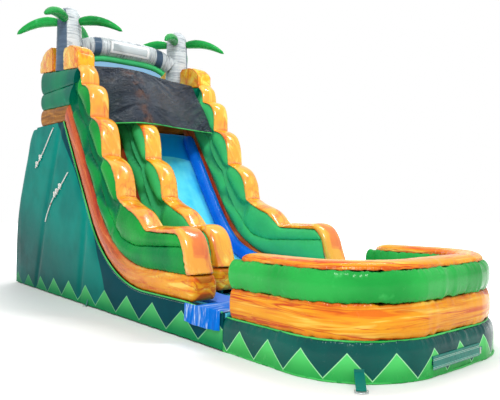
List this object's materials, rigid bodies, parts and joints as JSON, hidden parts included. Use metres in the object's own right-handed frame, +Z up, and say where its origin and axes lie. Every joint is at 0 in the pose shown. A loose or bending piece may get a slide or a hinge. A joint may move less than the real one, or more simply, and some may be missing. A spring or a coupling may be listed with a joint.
{
  "type": "inflatable water slide",
  "caption": "Tall inflatable water slide with a climbing lane, a slide lane between stair-stepped walls, palm trees on its tower and a round-ended splash pool.",
  "frame": {"origin": "on the ground, under the middle of the body, at the underside of the ground sheet", "axes": "+Z up; -Y towards the pool end, +Y towards the tower; the climbing lane is on the -X side"},
  "size_m": [4.2514, 10.5788, 5.93],
  "materials": {
    "ground_vinyl": "matte",
    "teal_vinyl": "gloss",
    "dark_teal_vinyl": "gloss",
    "brown_vinyl": "gloss",
    "blue_vinyl": "gloss",
    "cyan_vinyl": "gloss",
    "yellow_orange_marble_vinyl": "gloss",
    "light_green_vinyl": "gloss",
    "red_orange_marble_vinyl": "gloss",
    "green_vinyl": "gloss",
    "orange_marble_vinyl": "gloss",
    "tan_vinyl": "gloss",
    "grey_marble_vinyl": "gloss",
    "black_mesh": "matte",
    "white_rope": "matte",
    "plated_steel": "satin"
  },
  "bodies": {
    "slide": {"ground_sheet": "ground_vinyl", "side_panel_left": "teal_vinyl", "side_panel_right": "teal_vinyl", "back_panel": "teal_vinyl", "centre_baffle": "teal_vinyl", "anchor_tab_front": "teal_vinyl", "anchor_tab_left": "teal_vinyl", "blower_inlet": "teal_vinyl", "pool_base_ring": "dark_teal_vinyl", "zip_track": "dark_teal_vinyl", "tower_deck": "brown_vinyl", "ladder_ramp": "brown_vinyl", "slide_bed": "blue_vinyl", "slide_side_tube_left": "blue_vinyl", "slide_side_tube_right": "blue_vinyl", "entry_mat_pad": "blue_vinyl", "landing_pad": "cyan_vinyl", "pool_floor": "cyan_vinyl", "pool_lower_tube": "yellow_orange_marble_vinyl", "pool_rim_cap": "yellow_orange_marble_vinyl", "pool_upper_tube": "light_green_vinyl", "frond_left_1": "light_green_vinyl", "frond_left_2": "light_green_vinyl", "frond_left_3": "light_green_vinyl", "frond_left_4": "light_green_vinyl", "frond_right_1": "light_green_vinyl", "frond_right_2": "light_green_vinyl", "frond_right_3": "light_green_vinyl", "frond_right_4": "light_green_vinyl", "left_wall_strip": "red_orange_marble_vinyl", "middle_wall_strip": "red_orange_marble_vinyl", "right_wall_strip": "red_orange_marble_vinyl", "left_wall_lower_tube": "green_vinyl", "left_wall_upper_tube": "green_vinyl", "middle_wall_lower_tube": "green_vinyl", "middle_wall_upper_tube": "green_vinyl", "right_wall_lower_tube": "green_vinyl", "right_wall_upper_tube": "green_vinyl", "tower_rail_middle": "green_vinyl", "tower_rail_upper": "green_vinyl", "arch_lower_tube": "green_vinyl", "left_wall_cap": "orange_marble_vinyl", "middle_wall_cap": "orange_marble_vinyl", "right_wall_cap": "orange_marble_vinyl", "front_post_left": "orange_marble_vinyl", "front_post_right": "orange_marble_vinyl", "rear_post_left": "orange_marble_vinyl", "rear_post_right": "orange_marble_vinyl", "tower_rail_lower": "tan_vinyl", "palm_trunk_left": "grey_marble_vinyl", "palm_trunk_right": "grey_marble_vinyl", "arch_tube": "grey_marble_vinyl", "canopy": "black_mesh", "rope_upper": "white_rope", "rope_lower": "white_rope"},
    "mat_flap": {"entry_mat_flap": "blue_vinyl"},
    "zip_flap": {"zip_cover": "teal_vinyl"},
    "zip_pull": {"zip_slider": "plated_steel"},
    "front_ring": {"anchor_ring_front": "plated_steel"},
    "left_ring": {"anchor_ring_left": "plated_steel"}
  },
  "joints": [
    {"name": "mat_flap_hinge", "type": "hinge", "parent": "slide", "child": "mat_flap", "pos_m": [-1.604, -2.62, 0.484], "axis": [0, 1, 0], "range_deg": [0, 100]},
    {"name": "zip_cover_hinge", "type": "hinge", "parent": "slide", "child": "zip_flap", "pos_m": [-0.0825, -5.27102, 0.215], "axis": [-1, 0, 0], "range_deg": [0, 120]},
    {"name": "zip_pull_slide", "type": "slide", "parent": "slide", "child": "zip_pull", "axis": [1, 0, 0], "range_m": [-0.9, 0]},
    {"name": "front_ring_hinge", "type": "hinge", "parent": "slide", "child": "front_ring", "pos_m": [-1.45237, -5.08585, 0.025], "axis": [-0.7001, 0.714, 0], "range_deg": [0, 110]},
    {"name": "left_ring_hinge", "type": "hinge", "parent": "slide", "child": "left_ring", "pos_m": [-1.6303, 1, 0.025], "axis": [0, 1, 0], "range_deg": [0, 110]}
  ]
}
